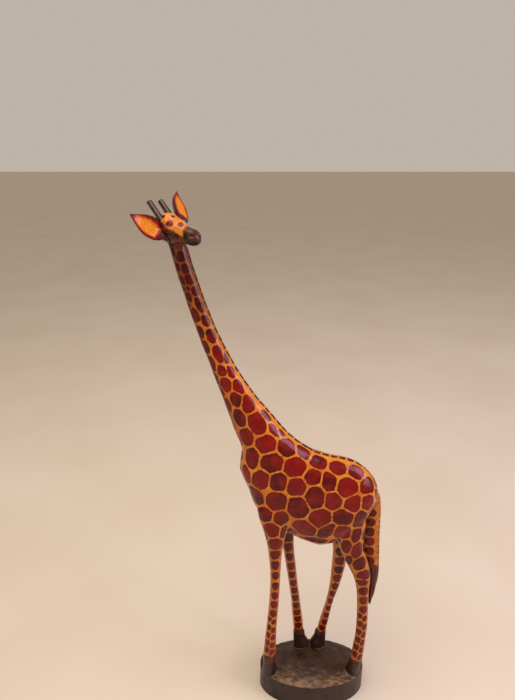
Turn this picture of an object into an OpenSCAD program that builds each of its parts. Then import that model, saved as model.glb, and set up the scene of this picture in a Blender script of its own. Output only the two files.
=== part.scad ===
// Carved wooden giraffe that stands on an oval plinth and looks back over its left shoulder.
// Millimetres. +Z is up, the body faces -X, and the origin is the middle of the plinth's underside.

/* [Plinth] */
// Length of the oval plinth
base_l = 130; // [104:1:160]
// Width of the oval plinth
base_w = 70; // [58:1:90]
// Height of the plinth's upright rim
rim_h = 32; // [24:1:42]
// How far the worn dome rises above the rim
dome_rise = 8; // [4:1:12]

/* [Hooves] */
// Height at which the near hooves meet the legs
near_hoof_z = 57; // [50:1:68]
// Height at which the far hooves meet the legs
far_hoof_z = 62; // [54:1:72]
// Length of a hoof where it meets its leg
hoof_l = 15; // [12:0.5:18]
// Width of a hoof where it meets its leg
hoof_w = 13; // [11:0.5:16]
// Distance from the plinth's front end to the near front leg
front_inset = 11; // [9:0.5:16]
// Distance from the plinth's rear end to the near hind leg
rear_inset = 12.5; // [9:0.5:16]
// Distance from the plinth's middle to the far front leg
far_front_x = 15; // [11:0.5:22]
// Distance from the plinth's middle to the far hind leg
far_hind_x = 13; // [11:0.5:22]

/* [Body] */
// Height of the body's centre above the table
body_z = 277; // [250:1:310]
// Length of the body from breast to rump
body_l = 130; // [110:1:150]
// Depth of the body from back to belly
body_h = 112; // [96:1:128]
// Width of the body
body_w = 46; // [38:1:56]

/* [Neck] */
// Length of the neck from the shoulders to the head
neck_l = 224; // [190:1:260]
// Lean of the neck forward from upright
neck_lean = 21.4; // [16:0.2:26]
// How far the middle of the neck bows forward
neck_bow = 9; // [4:0.5:13]
// Thickness of the neck just below the head
neck_top_d = 16; // [13:0.5:20]

/* [Head] */
// Length of the head from crown to lips
head_l = 56; // [47:1:64]
// Turn of the head over the left shoulder
head_turn = 142; // [125:1:160]
// How far the nose points down
head_pitch = 5; // [0:1:15]
// How far the head tips towards its right side
head_roll = 16; // [0:1:25]
// Length of an ear from its root to its tip
ear_l = 37; // [32:1:46]
// Width of an ear at its widest
ear_w = 21.5; // [18:0.5:28]
// Thickness of an ear
ear_t = 5; // [4:0.5:7]
// Diameter of an ear's round tenon
ear_tenon_d = 4; // [3:0.25:5]
// Depth of an ear's socket in the head
ear_socket = 7; // [5:0.5:8]
// Diameter of a horn peg
horn_d = 5.4; // [3.8:0.1:5.8]
// Length of a horn above the crown
horn_l = 18; // [14:0.5:22]
// Depth of a horn's hole in the crown
horn_socket = 7; // [5:0.5:8]
// Distance between the two horns
horn_gap = 11; // [9:0.5:13]

/* [Tail] */
// Widest part of the tail, seen from the side
tail_w = 17; // [14:0.5:20]
// Thickness of the tail, seen from behind
tail_t = 11; // [9:0.5:13]
// Diameter of the tail's round tenon
tail_tenon_d = 5; // [4:0.25:6]
// Depth of the tail's socket in the rump
tail_socket = 12; // [9:0.5:15]

/* [Joinery] */
// Diameter of a dowel between a hoof and its leg
dowel_d = 5; // [4:0.25:6]
// How far a dowel runs each way from the joint
dowel_reach = 12; // [9:0.5:15]
// Room for glue round every tenon, peg and dowel
glue_gap = 0.1; // [0.05:0.05:0.2]

/* [Hidden] */

base_sides = 96;
body_sides = 26;
leg_sides = 14;
head_sides = 18;
ear_sides = 16;
peg_sides = 32;
// Thickness of the thin discs that a hoof is stretched between
disc_t = 1;
// Chamfer round the cut top of a horn
horn_tip = 0.6;
// How far a tenon runs on past the foot of its ear's leaf
ear_tenon_lap = 2;

// Where the leg ends stand across the plinth
near_y = -(base_w / 2 - 20);
far_y = base_w / 2 - 13.5;
near_front_foot = [-(base_l / 2 - front_inset), near_y, near_hoof_z];
near_hind_foot = [base_l / 2 - rear_inset, near_y, near_hoof_z];
far_front_foot = [-far_front_x, far_y, far_hoof_z];
far_hind_foot = [far_hind_x, far_y, far_hoof_z];
feet = [near_front_foot, near_hind_foot, far_front_foot, far_hind_foot];

// How each hoof spreads on the plinth: shift along X, shift along Y, length and width of its sole
hoof_soles = [[1.5, 4, 20, 15], [-4, 4, 19, 15], [3.5, 0, 18, 15], [-3, 0, 18, 15]];
sole_z = rim_h - 6;

// Shoulder and hip points of the four legs, inside the body
shoulder = [-0.37 * body_l, body_z + 0.12 * body_h];
hip = [0.26 * body_l, body_z - 0.06 * body_h];
leg_y = 0.2 * body_w;

// Leg shapes: [share of the way up, bow along X, length of the section, width of the section]
near_front_shape = [[0, 0, hoof_l, hoof_w], [0.04, 0.2, 15.5, 13], [0.14, 0.7, 13.5, 12.5],
    [0.25, 1.6, 12.5, 12], [0.36, 2.8, 11.5, 12], [0.46, 3.4, 11.5, 12],
    [0.57, 3.1, 12.5, 13], [0.66, 2, 15, 15],
    [0.74, 1.4, 20, 17], [0.83, 0, 29, 20], [0.93, -2.6, 36, 22], [1, 0, 26, 16]];
near_hind_shape = [[0, 0, hoof_l, hoof_w], [0.12, 4.3, 13.5, 12.5], [0.24, 8, 13.5, 12],
    [0.39, 9.7, 13.5, 12], [0.5, 10.6, 15, 13], [0.6, 9.6, 21, 14],
    [0.69, 4.1, 26, 16], [0.79, -1.6, 28, 18], [0.89, -0.5, 33, 20], [1, 0, 32, 18]];
far_front_shape = [[0, 0, hoof_l - 2, hoof_w - 1], [0.14, 0.6, 12, 12], [0.24, 1.2, 11, 11],
    [0.34, 1.1, 11.5, 11.5], [0.45, 1, 12, 12], [0.57, 1, 13, 13],
    [0.7, 1, 17, 15], [0.84, 0, 28, 20], [1, 0, 24, 16]];
far_hind_shape = [[0, 0, hoof_l - 3, hoof_w - 1], [0.12, 1.5, 10.5, 11.5], [0.28, 3, 9.5, 10.5],
    [0.41, 4.4, 13, 12], [0.54, 3.8, 16.5, 14], [0.66, 1.5, 18, 16], [0.8, 0, 28, 18], [1, 0, 30, 18]];
legs = [[near_front_foot, [shoulder[0], -leg_y, shoulder[1]], near_front_shape],
    [near_hind_foot, [hip[0], -leg_y, hip[1]], near_hind_shape],
    [far_front_foot, [shoulder[0] + 4, leg_y, shoulder[1]], far_front_shape],
    [far_hind_foot, [hip[0] + 2, leg_y, hip[1]], far_hind_shape]];

// Body sections, as shares of its length and depth about the body's centre. Each runs from a point on
// the breast and belly line to a point on the back line: [belly X, belly Z, back X, back Z, half width]
body_shape = [
    [-0.65, 0.59, -0.28, 0.75, 0.37], [-0.67, 0.38, -0.12, 0.6, 0.42], [-0.6, 0.15, 0, 0.53, 0.46],
    [-0.51, -0.13, 0.11, 0.5, 0.49], [-0.28, -0.35, 0.23, 0.465, 0.5], [0, -0.51, 0.32, 0.415, 0.5],
    [0.17, -0.43, 0.415, 0.31, 0.47], [0.32, -0.29, 0.475, 0.19, 0.36], [0.45, -0.11, 0.5, 0.02, 0.1]];
neck_root = [-0.465 * body_l, body_z + 0.67 * body_h];
neck_root_half = 0.24 * body_h;
neck_root_half_w = 0.36 * body_w;
neck_top_half = neck_top_d / 2;
neck_steps = 9;
neck_top = neck_root + neck_l * [-sin(neck_lean), cos(neck_lean)];

// Head frame: forward, right and up, turned over the left shoulder, pitched down and rolled
head_mid = [neck_top[0] - 4, -1, neck_top[1] + 11];
fore = [-cos(head_turn) * cos(head_pitch), -sin(head_turn) * cos(head_pitch), -sin(head_pitch)];
level_right = unit(cross(fore, [0, 0, 1]));
level_up = cross(level_right, fore);
right = cos(head_roll) * level_right - sin(head_roll) * level_up;
up = cos(head_roll) * level_up + sin(head_roll) * level_right;
// Head stations, as shares of its length: [forward, up, half height, half width]
head_shape = [[-0.36, 0.01, 0.05, 0.04], [-0.31, 0.01, 0.14, 0.13], [-0.17, 0, 0.215, 0.2],
    [0, 0, 0.25, 0.215], [0.2, -0.03, 0.2, 0.17], [0.36, -0.055, 0.145, 0.125],
    [0.48, -0.07, 0.14, 0.125], [0.57, -0.085, 0.1, 0.1], [0.62, -0.095, 0.03, 0.03]];

// Where the right and the left ear leave the head: [forward, out, up]
ear_root_at = [[0.055 * head_l, 0.17 * head_l, -0.07 * head_l],
    [0.12 * head_l, 0.17 * head_l, 0.03 * head_l]];
// Which way the tip and the hollow of the right and the left ear face: [forward, out, up]
ear_tip_way = [[-0.58, 0.52, 0.72], [-0.65, 0.55, 0.53]];
ear_hollow_way = [[0.64, 0.22, 0.66], [0.66, 0.5, 0.56]];
horn_lean = 44;
horn_back = 0.06 * head_l;
// How far a horn's foot lies under the crown's skin, and how high it stands in the head
horn_skin = 3;
horn_up = 0.2 * head_l - horn_skin;

// Tail stations: [height below the top, along X, across Y, share of width, share of thickness]
tail_top_z = body_z + 0.1 * body_h;
tail_x = 0.475 * body_l;
tail_shape = [[0, 0, 0, 0.3, 0.4], [8, 0.5, 0, 0.6, 0.8], [24, -0.3, 0, 0.92, 1], [48, -1.2, -1, 1.12, 1],
    [72, -0.6, -3, 1.12, 0.95], [94, 2.6, -5.5, 0.86, 0.9], [112, 4, -8, 0.6, 0.8],
    [132, 2.5, -10.5, 0.4, 0.6], [148, 1, -12, 0.12, 0.2]];
tail_tenon_z = tail_top_z - 16;

function unit(v) = v / norm(v);

// Catmull-Rom curve through rows of numbers, with the given number of steps between rows
function smooth(rows, steps) = [
    for (i = [0 : len(rows) - 2], s = [0 : steps - 1])
        let (a = rows[max(i - 1, 0)], b = rows[i], c = rows[i + 1],
             d = rows[min(i + 2, len(rows) - 1)], t = s / steps)
        0.5 * (2 * b + (c - a) * t + (2 * a - 5 * b + 4 * c - d) * t * t
            + (3 * b - a - 3 * c + d) * t * t * t),
    rows[len(rows) - 1]];

// One ring of a loft: a rounded section about a centre, with two half axes and a squareness below 1
function ring(mid, half_a, half_b, sides, square = 1) = [
    for (i = [0 : sides - 1])
        let (c = cos(360 * i / sides), s = sin(360 * i / sides))
        mid + half_a * sign(c) * pow(abs(c), square) + half_b * sign(s) * pow(abs(s), square)];

// Closed skin over a list of rings
module skin(rings) {
    sides = len(rings[0]);
    last = len(rings) - 1;
    points = [for (r = rings, p = r) p];
    walls = [for (k = [0 : last - 1], i = [0 : sides - 1], h = [0, 1])
        let (j = (i + 1) % sides, a = k * sides, b = a + sides)
        h == 0 ? [a + i, b + j, a + j] : [a + i, b + i, b + j]];
    first_cap = [for (i = [0 : sides - 1]) i];
    last_cap = [for (i = [sides - 1 : -1 : 0]) last * sides + i];
    polyhedron(points = points, faces = concat([first_cap], walls, [last_cap]));
}

// Places children with their Z axis along a direction and their X axis near a hint
module aimed(at, along, hint) {
    z = unit(along);
    y = unit(cross(z, hint));
    x = cross(y, z);
    multmatrix([[x[0], y[0], z[0], at[0]], [x[1], y[1], z[1], at[1]],
        [x[2], y[2], z[2], at[2]], [0, 0, 0, 1]])
        children();
}

// Neck and body in one loft, from under the head to the rump: [X, Z, half axis X, half axis Z, half width]
neck_rows = [for (i = [0 : neck_steps])
    let (s = 1 - i / (neck_steps + 1), across = [cos(neck_lean), sin(neck_lean)],
         mid = neck_root + s * (neck_top - neck_root) - 4 * neck_bow * s * (1 - s) * across,
         lean = neck_lean + atan(4 * neck_bow * (1 - 2 * s) / neck_l),
         flare = pow(1 - s, 3.2), half = neck_top_half + flare * (neck_root_half - neck_top_half))
    [mid[0], mid[1], half * cos(lean), half * sin(lean),
     neck_top_half - 0.5 + flare * (neck_root_half_w - neck_top_half)]];
body_rows = [for (b = body_shape)
    [(b[0] + b[2]) / 2 * body_l, body_z + (b[1] + b[3]) / 2 * body_h,
     (b[2] - b[0]) / 2 * body_l, (b[3] - b[1]) / 2 * body_h, b[4] * body_w]];

module neck_and_body() {
    skin([for (r = smooth(concat(neck_rows, body_rows), 2))
        ring([r[0], 0, r[1]], [r[2], 0, r[3]], [0, -r[4], 0], body_sides, 0.92)]);
}

module leg(foot, top, shape) {
    skin([for (r = smooth(shape, 2))
        let (mid = foot + r[0] * (top - foot) + [r[1], 0, 0])
        ring(mid, [r[2] / 2, 0, 0], [0, r[3] / 2, 0], leg_sides)]);
}

module skull() {
    skin([for (r = smooth(head_shape, 2))
        let (mid = head_mid + head_l * (r[0] * fore + r[1] * up))
        ring(mid, head_l * r[2] * up, head_l * r[3] * right, head_sides)]);
}

// side is 1 for the animal's right and -1 for its left
function in_head(v, side) = v[0] * fore + side * v[1] * right + v[2] * up;

module at_ear(side) {
    n = side > 0 ? 0 : 1;
    root = head_mid + in_head(ear_root_at[n], side);
    aimed(root, in_head(ear_tip_way[n], side), in_head(ear_hollow_way[n], side))
        children();
}

// The leaf of an ear along Z, its face towards X, with extra room when it cuts its seat
module ear_leaf(room) {
    stations = smooth([for (t = [0 : 0.125 : 1])
        [t * ear_l, 0.5 * ear_w * (0.16 + 0.84 * pow(sin(180 * pow(t, 0.8)), 0.8)) * (1 - 0.75 * pow(t, 6)),
         0.5 * ear_t * (1 - 0.6 * t)]], 1);
    skin([for (s = stations)
        ring([0, 0, s[0]], [s[2] + room, 0, 0], [0, s[1] + room, 0], ear_sides)]);
}

module ear_tenon(room) {
    translate([0, 0, ear_tenon_lap - ear_socket - room])
        cylinder(d = ear_tenon_d + 2 * room, h = ear_socket, $fn = peg_sides);
}

// The hole drilled for the horn takes a groove out of the edge of the ear beside it
module ear(side) {
    difference() {
        at_ear(side) {
            ear_leaf(0);
            ear_tenon(0);
        }
        horn_hole(side);
    }
}

function horn_root(side) = head_mid + side * horn_gap / 2 * right - horn_back * fore + horn_up * up;
horn_dir = cos(horn_lean) * [0, 0, 1] + sin(horn_lean) * unit([-fore[0], -fore[1], 0]);

module at_horn(side) {
    aimed(horn_root(side), horn_dir, fore) translate([0, 0, horn_skin - horn_socket]) children();
}

module horn(side) {
    straight = horn_socket + horn_l - horn_tip;
    cut_d = horn_d - 2 * horn_tip;
    at_horn(side) {
        cylinder(d = horn_d, h = straight, $fn = peg_sides);
        translate([0, 0, straight]) cylinder(d1 = horn_d, d2 = cut_d, h = horn_tip, $fn = peg_sides);
    }
}

module horn_hole(side) {
    at_horn(side) translate([0, 0, -glue_gap])
        cylinder(d = horn_d + 2 * glue_gap, h = horn_socket + horn_l, $fn = peg_sides);
}

module tail_blade(room) {
    skin([for (r = smooth(tail_shape, 2))
        ring([tail_x + r[1], r[2], tail_top_z - r[0]], [tail_w * r[3] / 2 + room, 0, 0],
            [0, -tail_t * r[4] / 2 - room, 0], leg_sides)]);
}

module tail_tenon(room) {
    translate([tail_x, 0, tail_tenon_z]) rotate([0, -90, 0])
        cylinder(d = tail_tenon_d + 2 * room, h = tail_socket + room, $fn = peg_sides);
}

module dowel(foot, room) {
    translate(foot - [0, 0, dowel_reach + room])
        cylinder(d = dowel_d + 2 * room, h = 2 * (dowel_reach + room), $fn = peg_sides);
}

module oval_disc(length, width) {
    resize([length, width, disc_t]) cylinder(d = 1, h = 1, $fn = peg_sides);
}

module hoof(foot, sole) {
    hull() {
        translate(foot - [0, 0, disc_t]) oval_disc(hoof_l, hoof_w);
        translate([foot[0] + sole[0], foot[1] + sole[1], sole_z]) oval_disc(sole[2], sole[3]);
    }
}

module base() {
    dome_r = (pow(base_l / 2, 2) + pow(dome_rise, 2)) / (2 * dome_rise);
    color("#3B2520") difference() {
        union() {
            intersection() {
                linear_extrude(rim_h + dome_rise)
                    polygon([for (i = [0 : base_sides - 1])
                        [base_l / 2 * cos(360 * i / base_sides), base_w / 2 * sin(360 * i / base_sides)]]);
                translate([0, 0, rim_h + dome_rise - dome_r]) sphere(r = dome_r, $fn = 96);
            }
            for (i = [0 : 3]) hoof(feet[i], hoof_soles[i]);
        }
        for (f = feet) dowel(f, glue_gap);
    }
}

module figure() {
    color("#A8401E") difference() {
        resize([0, 0, 0]) difference() {
            union() {
                neck_and_body();
                skull();
                for (l = legs) leg(l[0], l[1], l[2]);
            }
            tail_blade(glue_gap);
            for (side = [1, -1]) at_ear(side) ear_leaf(glue_gap);
        }
        for (f = feet) dowel(f, glue_gap);
        tail_tenon(glue_gap);
        for (side = [1, -1]) {
            at_ear(side) ear_tenon(glue_gap);
            horn_hole(side);
        }
    }
}

module tail() {
    color("#7A2A18") {
        tail_blade(0);
        tail_tenon(0);
    }
}

module ear_right() {
    color("#D98A2B") ear(1);
}

module ear_left() {
    color("#D98A2B") ear(-1);
}

module horn_right() {
    color("#3A201A") horn(1);
}

module horn_left() {
    color("#3A201A") horn(-1);
}

module hoof_dowels() {
    color("#C79A62") for (f = feet) dowel(f, 0);
}

base();
figure();
tail();
ear_right();
ear_left();
horn_right();
horn_left();
hoof_dowels();
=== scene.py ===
import math

import bmesh
import bpy
import numpy as np
from mathutils import Matrix, Vector, noise
from mathutils.bvhtree import BVHTree


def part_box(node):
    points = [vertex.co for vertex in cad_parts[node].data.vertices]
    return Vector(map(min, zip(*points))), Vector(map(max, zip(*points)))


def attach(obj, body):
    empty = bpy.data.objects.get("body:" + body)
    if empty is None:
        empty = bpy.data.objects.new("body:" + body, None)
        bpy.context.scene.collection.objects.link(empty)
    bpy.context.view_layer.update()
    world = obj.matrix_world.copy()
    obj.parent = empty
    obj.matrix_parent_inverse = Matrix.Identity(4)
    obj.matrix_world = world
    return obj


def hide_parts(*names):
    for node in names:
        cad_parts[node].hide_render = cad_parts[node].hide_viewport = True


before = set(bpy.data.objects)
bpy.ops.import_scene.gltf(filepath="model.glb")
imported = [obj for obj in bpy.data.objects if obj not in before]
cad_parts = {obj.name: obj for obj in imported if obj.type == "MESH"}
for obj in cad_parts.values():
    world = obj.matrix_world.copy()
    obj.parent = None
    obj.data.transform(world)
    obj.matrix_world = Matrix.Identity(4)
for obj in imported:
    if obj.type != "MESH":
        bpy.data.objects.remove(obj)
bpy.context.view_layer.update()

# ---------------------------------------------------------------------------
# Plinth with its four hooves.
# One oval block of soft hardwood, sawn flat underneath and knifed round the wall. The low dome is
# hewn with a gouge, the hooves stand out of it, and all of it is stained dark and waxed.
# ---------------------------------------------------------------------------
MM = 0.001

_, plinth_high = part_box("base")
plinth_half_x = plinth_high.x
plinth_half_y = plinth_high.y
rim_height = 32 * MM
dome_rise = 8 * MM
hoof_joint_z = 57 * MM

gouge_count = 230
gouge_long = 9 * MM
gouge_wide = 3.2 * MM
gouge_deep = 0.7 * MM

# The two hooves that stand free at the back: where each is along the plinth, and which way it points
boot_hooves = ((-15 * MM, 1), (13 * MM, -1))
boot_row_y = 21.5 * MM
boot_side_y = 8 * MM
boot_reach = 14 * MM
boot_sole_z, boot_ankle_z = 41 * MM, 56 * MM


def carved(name, node, grain, passes, lengthen=None):
    """A piece with the outline of a CAD node, its facets worked smooth, with one point each grain.

    lengthen gives, for the place of a corner, how far that corner is first drawn down."""
    rough = bmesh.new()
    rough.from_mesh(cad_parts[node].data)
    bmesh.ops.remove_doubles(rough, verts=rough.verts, dist=0.01 * MM)
    for corner in rough.verts if lengthen else ():
        corner.co.z -= lengthen(corner.co)
    mesh = bpy.data.meshes.new(name)
    rough.to_mesh(mesh)
    rough.free()
    block = bpy.data.objects.new(name, mesh)
    bpy.context.scene.collection.objects.link(block)
    remesh = block.modifiers.new("grain", "REMESH")
    remesh.mode = "VOXEL"
    remesh.voxel_size = grain
    worked = block.modifiers.new("scraper", "SMOOTH")
    worked.factor = 0.5
    worked.iterations = passes
    return settled(block)


def settled(piece):
    """The piece with its modifiers made final, so that its shape is in its mesh."""
    final = bpy.data.meshes.new_from_object(piece.evaluated_get(bpy.context.evaluated_depsgraph_get()))
    piece.modifiers.clear()
    piece.data = final
    final.polygons.foreach_set("use_smooth", np.ones(len(final.polygons), bool))
    return piece


def skin_of(piece):
    """Places and outward normals of a piece's points, each as one row."""
    count = len(piece.data.vertices)
    places = np.empty(count * 3, np.float32)
    facings = np.empty(count * 3, np.float32)
    piece.data.vertices.foreach_get("co", places)
    piece.data.vertex_normals.foreach_get("vector", facings)
    return places.reshape(-1, 3).astype(float), facings.reshape(-1, 3).astype(float)


def reshape(piece, places):
    piece.data.vertices.foreach_set("co", places.astype(np.float32).ravel())
    piece.data.update()


def mark(piece, name, values):
    """Stores one number for each point of a piece, for its finish to read."""
    kept = piece.data.attributes.new(name, "FLOAT", "POINT")
    kept.data.foreach_set("value", np.asarray(values, np.float32))


def wander(places, size, seed):
    """Soft noise from -1 to 1 over a piece, with lumps of the given size."""
    shift = Vector((seed * 7.3, seed * 3.1, seed * 5.7))
    return np.array([noise.noise(Vector(p) / size + shift) for p in places])


def ramp(values, start, end):
    """0 below start and 1 above end, with a soft turn at both."""
    share = np.clip((values - start) / (end - start), 0, 1)
    return share * share * (3 - 2 * share)


plinth = carved("plinth", "base", 0.85 * MM, 5)
places, facings = skin_of(plinth)
x, y, z = places.T

# The gouge leaves the dome level with the rim all the way round, and highest in the middle.
out = np.sqrt((x / plinth_half_x) ** 2 + (y / plinth_half_y) ** 2)
ball = (plinth_half_x ** 2 + dome_rise ** 2) / (2 * dome_rise)
block_top = rim_height + dome_rise - ball + np.sqrt(ball ** 2 - x ** 2 - y ** 2)
hewn_top = rim_height + dome_rise * (1 - np.clip(out, 0, 1) ** 2)
under = z <= block_top + 0.3 * MM
fade = np.clip((hoof_joint_z - z) / (hoof_joint_z - block_top), 0, 1)
places[:, 2] = np.where(under, z * hewn_top / block_top, z + (hewn_top - block_top) * fade)
hoof = ramp(places[:, 2], hewn_top.max() - 2 * MM, hewn_top.max() + 3 * MM)
hoof = np.maximum(hoof, ramp(places[:, 2] - hewn_top, 0.8 * MM, 2.5 * MM))
dome = ramp(facings[:, 2], 0.35, 0.75) * (1 - hoof) * (places[:, 2] > 0.6 * rim_height)

# Gouge cuts: short scoops that run round the dome, each laid over the ones before it.
hand = np.random.default_rng(11)
cut = np.zeros(len(places))
for _ in range(gouge_count):
    turn, reach = hand.uniform(0, 2 * math.pi), math.sqrt(hand.uniform(0.02, 1))
    at = np.array([reach * math.cos(turn) * plinth_half_x, reach * math.sin(turn) * plinth_half_y])
    way = math.atan2(math.cos(turn) * plinth_half_y, -math.sin(turn) * plinth_half_x)
    way += hand.uniform(-0.5, 0.5)
    off = places[:, :2] - at
    along = (off[:, 0] * math.cos(way) + off[:, 1] * math.sin(way)) / gouge_long
    across = (off[:, 1] * math.cos(way) - off[:, 0] * math.sin(way)) / gouge_wide
    scoop = np.clip(1 - along ** 2 - across ** 2, 0, 1)
    cut = np.maximum(cut, scoop * hand.uniform(0.4, 1))
places[:, 2] -= cut * dome * gouge_deep

# The free-standing hooves flare like small boots towards the dome, each with its toe drawn out.
for boot_x, toe_way in boot_hooves:
    low = ramp(-places[:, 2], -boot_ankle_z, -boot_sole_z) * hoof
    low *= (y > boot_side_y) & (np.abs(x - boot_x) < boot_reach)
    places[:, 0] += low * 2.2 * MM * np.clip((x - boot_x) / (8 * MM), -1, 1)
    places[:, 0] += low * 1.6 * MM * toe_way
    places[:, 1] += low * 1.2 * MM * np.clip((y - boot_row_y) / (7 * MM), -1, 1)

# Knife facets round the wall and on the hooves.
wall = 1 - dome
facet = wander(places * np.array([1, 1, 0.35]), 9 * MM, 3)
places += facings * ((facet * 0.45 - 0.35) * wall * MM)[:, None] * (places[:, 2] > 1 * MM)[:, None]
places[:, 2] = np.maximum(places[:, 2], 0)
reshape(plinth, places)

# Paler towards the front lip and on the front ridges between scoops: rubbed wood and painted highlight.
front = ramp(-y / plinth_half_y, -0.15, 0.75)
worn = dome * front * ramp(out, 0.55, 0.96)
mark(plinth, "dome", dome)
mark(plinth, "worn", worn + dome * 0.4 * (1 - cut) * front)
mark(plinth, "scoop", cut * dome)


def linear(code):
    """A linear colour from an sRGB hex value such as "C87A35"."""
    parts = [int(code[i:i + 2], 16) / 255 for i in (0, 2, 4)]
    return [p / 12.92 if p <= 0.04045 else ((p + 0.055) / 1.055) ** 2.4 for p in parts] + [1]


def add(tree, kind, out=0, **given):
    """Adds one node with its settings and links, and gives back one of its outputs.

    Each name is an input or a property, with "_" for a space. An input takes another node's output,
    a plain value, or a colour as a hex value."""
    made = tree.nodes.new(kind)
    inputs = {socket.identifier.replace(" ", "_"): socket for socket in made.inputs}
    for name, value in given.items():
        if name not in inputs:
            setattr(made, name, value)
        elif isinstance(value, bpy.types.NodeSocket):
            tree.links.new(value, inputs[name])
        else:
            inputs[name].default_value = linear(value) if isinstance(value, str) else value
    return made.outputs[out] if made.outputs else made


def new_finish(name):
    """A material with no nodes yet, and the tree that its nodes go into."""
    finish = bpy.data.materials.new(name)
    finish.use_nodes = True
    finish.node_tree.nodes.clear()
    return finish, finish.node_tree


def lumps(tree, size, detail=3.0, stretch=(1, 1, 1)):
    """Noise on Object coordinates, its lumps of one size in metres, drawn out along each axis."""
    place = add(tree, "ShaderNodeTexCoord", out=3)
    drawn = add(tree, "ShaderNodeMapping", Vector=place, Scale=[1 / (size * s) for s in stretch])
    return add(tree, "ShaderNodeTexNoise", Vector=drawn, Scale=1.0, Detail=detail)


def finished(tree, colour, roughness, relief, relief_depth, **kind):
    """Ends a finish in one surface, whose grain stands out by the given depth in metres."""
    grain = add(tree, "ShaderNodeBump", Strength=1.0, Distance=relief_depth, Height=relief)
    surface = add(tree, "ShaderNodeBsdfPrincipled", Base_Color=colour, Roughness=roughness,
                  Normal=grain, Coat_Normal=grain, IOR=1.5, **kind)
    add(tree, "ShaderNodeOutputMaterial", Surface=surface)


def coat(piece, finish):
    """Gives a piece one finish all over."""
    piece.data.materials.clear()
    piece.data.materials.append(finish)


# Stained wood under wax: nearly black on the wall and the hooves, where the stain lies thick, and
# brown where the gouge has opened the grain. The front of the dome is paler towards its lip and on the
# ridges between scoops: partly rubbed wood, partly painted highlight. The wax gives a broad dull sheen.
stained_wood, stain = new_finish("stained_waxed_wood")
stain_clouds = lumps(stain, 14 * MM, 5.0)
stain_patches = add(stain, "ShaderNodeMapRange", Value=stain_clouds, From_Min=0.36, From_Max=0.64)
stain_grain = lumps(stain, 2.2 * MM, 4.0, (5, 1, 1))
wall_colour = add(stain, "ShaderNodeMix", 2, data_type="RGBA", Factor_Float=stain_patches,
                  A_Color="190A06", B_Color="32170E")
dome_ground = add(stain, "ShaderNodeMix", 2, data_type="RGBA", Factor_Float=stain_patches,
                  A_Color="22120B", B_Color="4E3420")
dome_streaks = add(stain, "ShaderNodeMapRange", Value=stain_grain, From_Min=0.35, From_Max=0.7)
dome_grained = add(stain, "ShaderNodeMix", 2, data_type="RGBA", Factor_Float=dome_streaks,
                   A_Color=dome_ground, B_Color="3D2717")
scoop = add(stain, "ShaderNodeAttribute", 2, attribute_name="scoop")
scoop_share = add(stain, "ShaderNodeMapRange", Value=scoop, From_Min=0.2, From_Max=1.0, To_Max=0.5)
dome_scooped = add(stain, "ShaderNodeMix", 2, data_type="RGBA", Factor_Float=scoop_share,
                   A_Color=dome_grained, B_Color="1E110A")
# Paler wood over the front of the dome: rubbed wood and painted highlight.
worn_share = add(stain, "ShaderNodeAttribute", 2, attribute_name="worn")
rub_marks = lumps(stain, 2.6 * MM, 9.0, (2.6, 1, 1))
rub_shares = add(stain, "ShaderNodeMapRange", Value=rub_marks, From_Min=0.34, From_Max=0.78)
rubbed_and_lit = add(stain, "ShaderNodeMath", operation="MULTIPLY", Value=worn_share, Value_001=rub_shares)
rubbed_and_lit_share = add(stain, "ShaderNodeMapRange", Value=rubbed_and_lit, From_Min=0.05, From_Max=0.8)
dome_colour = add(stain, "ShaderNodeMix", 2, data_type="RGBA", Factor_Float=rubbed_and_lit_share,
                  A_Color=dome_scooped, B_Color="765636")
on_dome = add(stain, "ShaderNodeAttribute", 2, attribute_name="dome")
plinth_colour = add(stain, "ShaderNodeMix", 2, data_type="RGBA", Factor_Float=on_dome,
                    A_Color=wall_colour, B_Color=dome_colour)
plinth_rough = add(stain, "ShaderNodeMapRange", Value=stain_grain, From_Min=0.3, From_Max=0.75,
                   To_Min=0.36, To_Max=0.58)
finished(stain, plinth_colour, plinth_rough, stain_grain, 0.12 * MM,
         Specular_IOR_Level=0.16, Coat_Weight=0.3, Coat_Roughness=0.28)
coat(plinth, stained_wood)
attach(plinth, "root")
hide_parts("base")

# ---------------------------------------------------------------------------
# Figure: body, neck, head and legs, carved from one billet.
# It is shaped with a knife, scraped, painted amber, and then the spots are put on with a brush one
# by one. A thick clear varnish goes over all of it.
# ---------------------------------------------------------------------------
neck_lean = math.radians(21.4)
neck_way = np.array([-math.sin(neck_lean), 0, math.cos(neck_lean)])
neck_back = np.array([math.cos(neck_lean), 0, math.sin(neck_lean)])
neck_foot_z = 345 * MM
head_foot_z = 553 * MM
rump_x = 60 * MM

# Where the legs end on the hooves, and how much further their skin is drawn down
near_leg_foot_z = 57.2 * MM
far_leg_foot_z = 62.2 * MM
far_legs_y = 3 * MM
leg_overrun = 4 * MM

# Head frame: its middle, and the ways forward, right and up, in the part's own turns
head_middle = np.array([-146.2, -1.0, 571.6]) * MM
head_turn, head_pitch, head_roll = math.radians(142), math.radians(5), math.radians(16)
head_fore = np.array([-math.cos(head_turn) * math.cos(head_pitch),
                      -math.sin(head_turn) * math.cos(head_pitch), -math.sin(head_pitch)])
level_right = np.cross(head_fore, [0, 0, 1])
level_right /= np.linalg.norm(level_right)
level_up = np.cross(level_right, head_fore)
head_right = math.cos(head_roll) * level_right - math.sin(head_roll) * level_up
head_up = math.cos(head_roll) * level_up + math.sin(head_roll) * level_right


def into_hoof(corner):
    """The end of each leg runs on into its hoof, so that no edge shows where they meet."""
    leg_foot_z = far_leg_foot_z if corner.y > far_legs_y else near_leg_foot_z
    return leg_overrun if corner.z < leg_foot_z else 0


figure = carved("painted_figure", "figure", 1.2 * MM, 6, into_hoof)

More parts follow.
